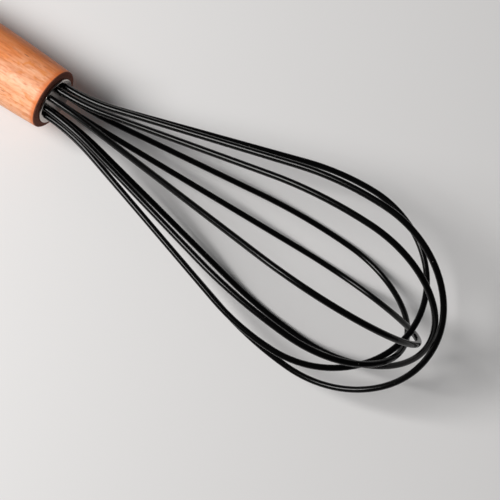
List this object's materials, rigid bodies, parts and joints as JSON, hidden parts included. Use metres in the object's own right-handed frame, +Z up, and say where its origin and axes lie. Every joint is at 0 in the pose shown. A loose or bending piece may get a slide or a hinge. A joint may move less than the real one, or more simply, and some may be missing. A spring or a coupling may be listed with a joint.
{
  "type": "balloon whisk",
  "caption": "Balloon whisk with a round wooden handle, a polished steel cup in its end and crossed wire loops in black silicone sleeves.",
  "frame": {"origin": "middle of the whisk's box, on the table that it lies on", "axes": "+X from the far end of the handle to the tip of the balloon, +Z up from the table, +Y to the left of someone looking along +X"},
  "size_m": [0.302, 0.081, 0.0816],
  "materials": {
    "beech": "satin, oiled",
    "polished_steel": "polished stainless steel",
    "block_plastic": "plain moulded",
    "resin": "cast, clear amber",
    "wire_steel": "drawn spring wire",
    "black_silicone": "smooth, satin sheen"
  },
  "bodies": {
    "root": {"wooden_handle": "beech", "end_cup": "polished_steel", "anchor_block": "block_plastic", "resin_seal": "resin", "wire_loop_1": "wire_steel", "silicone_sleeve_1": "black_silicone", "wire_loop_2": "wire_steel", "silicone_sleeve_2": "black_silicone", "wire_loop_3": "wire_steel", "silicone_sleeve_3": "black_silicone", "wire_loop_4": "wire_steel", "silicone_sleeve_4": "black_silicone", "wire_loop_5": "wire_steel", "silicone_sleeve_5": "black_silicone"}
  },
  "joints": []
}
